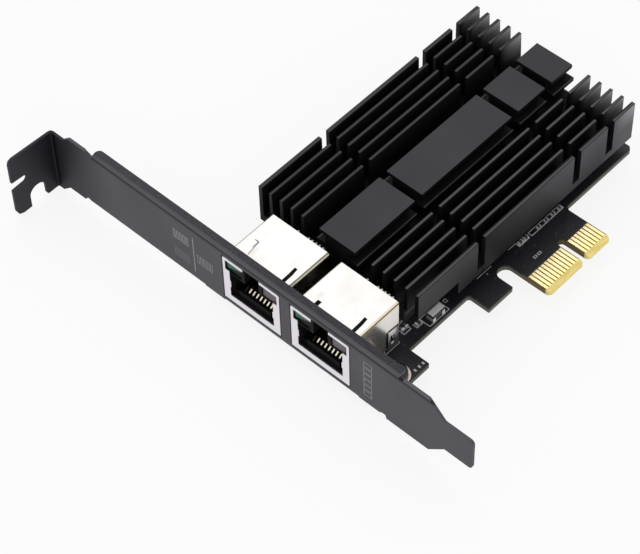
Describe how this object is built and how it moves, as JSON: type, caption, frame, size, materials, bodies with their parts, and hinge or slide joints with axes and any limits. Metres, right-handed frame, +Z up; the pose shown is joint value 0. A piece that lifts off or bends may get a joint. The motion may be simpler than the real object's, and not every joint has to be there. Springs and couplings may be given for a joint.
{
  "type": "network interface card",
  "caption": "Low black expansion card with a finned heatsink, an edge connector and a slotted mounting bracket that carries network sockets.",
  "frame": {"origin": "key notch of the edge connector, at the finger tips, on the component side of the board", "axes": "+X out of the edge connector into its slot, along the bracket's length; +Y from the bracket to the board's far end; +Z up from the component side"},
  "size_m": [0.1203, 0.102, 0.02],
  "materials": {
    "board_black": "black solder mask over glass-fibre laminate",
    "plated_gold": "hard gold plating, satin",
    "bare_copper": "pale tinned copper",
    "bracket_black": "dark grey coated steel sheet, satin",
    "screw_black": "black oxide steel",
    "shield_nickel": "bright nickel-plated sheet",
    "housing_black": "black moulded plastic",
    "contact_gold": "gold-plated spring wire",
    "light_green": "unlit green light window",
    "light_grey": "unlit clear light window",
    "lead_tin": "tinned wire",
    "sink_black": "black anodised aluminium, satin",
    "standoff_brass": "turned brass",
    "screw_steel": "zinc-plated steel",
    "package_black": "moulded black package",
    "pad_grey": "soft grey heat pad",
    "coil_black": "moulded ferrite block",
    "can_steel": "sealed metal can",
    "cap_tan": "tan ceramic with tinned ends",
    "resistor_black": "black-coated chip with tinned ends"
  },
  "bodies": {
    "root": {"bracket": "bracket_black", "bracket_screws": "screw_black", "bulk_capacitors": "cap_tan", "chip_resistors": "resistor_black", "circuit_board": "board_black", "coupling_capacitors": "cap_tan", "crystal": "can_steel", "edge_fingers_bottom": "plated_gold", "edge_fingers_top": "plated_gold", "edge_inductor": "coil_black", "flash_memory": "package_black", "ground_rings": "bare_copper", "heatsink": "sink_black", "heatsink_screws": "screw_steel", "heatsink_standoffs": "standoff_brass", "lan_transformers": "package_black", "left_jack_contacts": "contact_gold", "left_jack_green_light": "light_green", "left_jack_grey_light": "light_grey", "left_jack_housing": "housing_black", "left_jack_light_leads": "lead_tin", "left_jack_shield": "shield_nickel", "network_controller": "package_black", "port_filters": "cap_tan", "power_inductors": "coil_black", "right_jack_contacts": "contact_gold", "right_jack_green_light": "light_green", "right_jack_grey_light": "light_grey", "right_jack_housing": "housing_black", "right_jack_light_leads": "lead_tin", "right_jack_shield": "shield_nickel", "solder_side_capacitors": "cap_tan", "thermal_pad": "pad_grey", "voltage_regulators": "package_black"}
  },
  "joints": []
}
